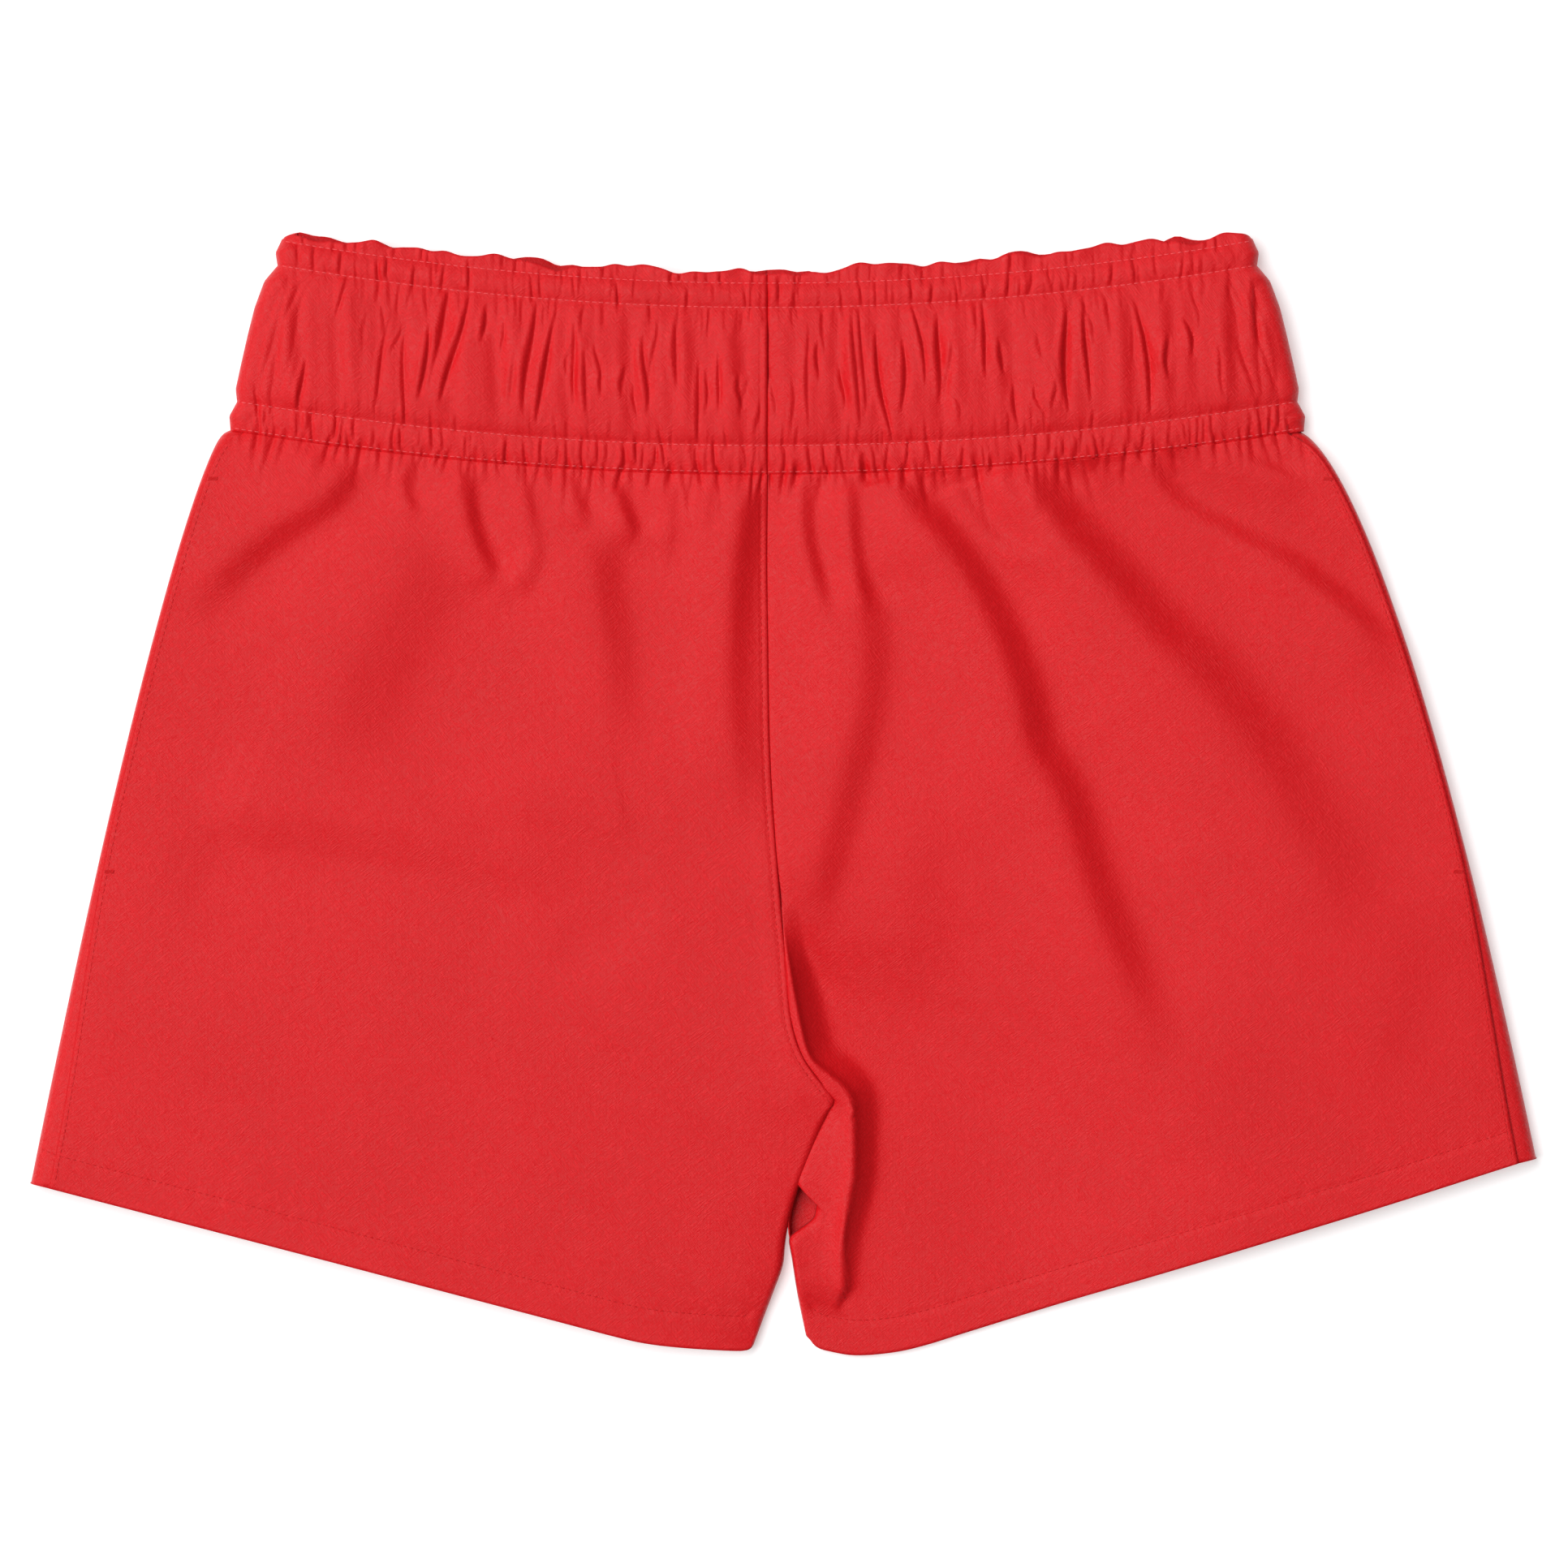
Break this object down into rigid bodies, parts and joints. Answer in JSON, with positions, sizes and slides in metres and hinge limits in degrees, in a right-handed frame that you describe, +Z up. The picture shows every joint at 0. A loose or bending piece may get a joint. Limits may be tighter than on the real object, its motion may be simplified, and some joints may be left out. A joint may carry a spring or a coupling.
{
  "type": "boxing shorts",
  "caption": "Short red boxing shorts lying flat, with a wide gathered elastic waistband, slanted side seams, side pockets and stitched hems.",
  "frame": {"origin": "on the surface the shorts lie on, under the middle of the whole garment", "axes": "+X across the shorts to the right as seen from the front, +Y from the hems to the waistband, +Z up from the surface out of the front panels"},
  "size_m": [0.5576, 0.4158, 0.0172],
  "materials": {
    "shell": "matte woven polyester, fine weave, slight sheen",
    "lining": "thin matte woven lining",
    "thread": "satin sewing thread",
    "elastic": "woven elastic tape",
    "label": "blank satin tape"
  },
  "bodies": {
    "hips": {"front_panel_left": "shell", "front_panel_right": "shell", "back_panel_left": "shell", "back_panel_right": "shell", "pocket_bag_left": "lining", "pocket_bag_right": "lining", "pocket_bartacks": "thread", "seam_thread": "thread", "channel_front_left": "shell", "channel_front_right": "shell", "channel_back_left": "shell", "channel_back_right": "shell", "channel_elastic": "elastic", "channel_thread": "thread"},
    "left_leg": {"leg_front_left": "shell", "leg_back_left": "shell", "hem_thread_left": "thread"},
    "right_leg": {"leg_front_right": "shell", "leg_back_right": "shell", "hem_thread_right": "thread"},
    "waistband": {"band_front_left": "shell", "band_front_right": "shell", "band_back_left": "shell", "band_back_right": "shell", "wide_elastic": "elastic", "top_elastic": "elastic", "band_thread": "thread", "care_label": "label"}
  },
  "joints": [
    {"name": "waistband_fold", "type": "hinge", "parent": "hips", "child": "waistband", "pos_m": [-0.006, 0.1274, 0.0185], "axis": [1, 0, 0], "range_deg": [0, 170]},
    {"name": "left_leg_fold", "type": "hinge", "parent": "hips", "child": "left_leg", "pos_m": [-0.13, -0.124, 0.0145], "axis": [-1, 0, 0], "range_deg": [0, 170]},
    {"name": "right_leg_fold", "type": "hinge", "parent": "hips", "child": "right_leg", "pos_m": [0.14, -0.124, 0.0145], "axis": [-1, 0, 0], "range_deg": [0, 170]}
  ]
}
